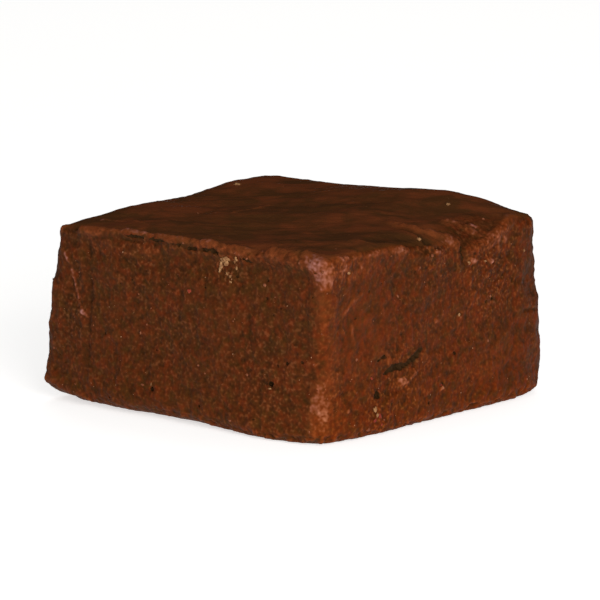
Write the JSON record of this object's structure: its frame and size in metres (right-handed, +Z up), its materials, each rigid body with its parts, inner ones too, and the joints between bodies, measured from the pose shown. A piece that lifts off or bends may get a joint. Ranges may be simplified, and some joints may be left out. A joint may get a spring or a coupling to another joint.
{
  "type": "chocolate fudge block",
  "caption": "Square hand-cut block of chocolate fudge, about as thick as half its width, with a smooth poured top and rough knife-cut sides.",
  "frame": {"origin": "middle of the block's box, on the surface it lies on", "axes": "+Z up through the poured top, -Y out of the front cut face, +X out of the right cut face"},
  "size_m": [0.0426, 0.0422, 0.0221],
  "materials": {
    "chocolate_fudge": null
  },
  "bodies": {
    "root": {"fudge_block": "chocolate_fudge"}
  },
  "joints": []
}
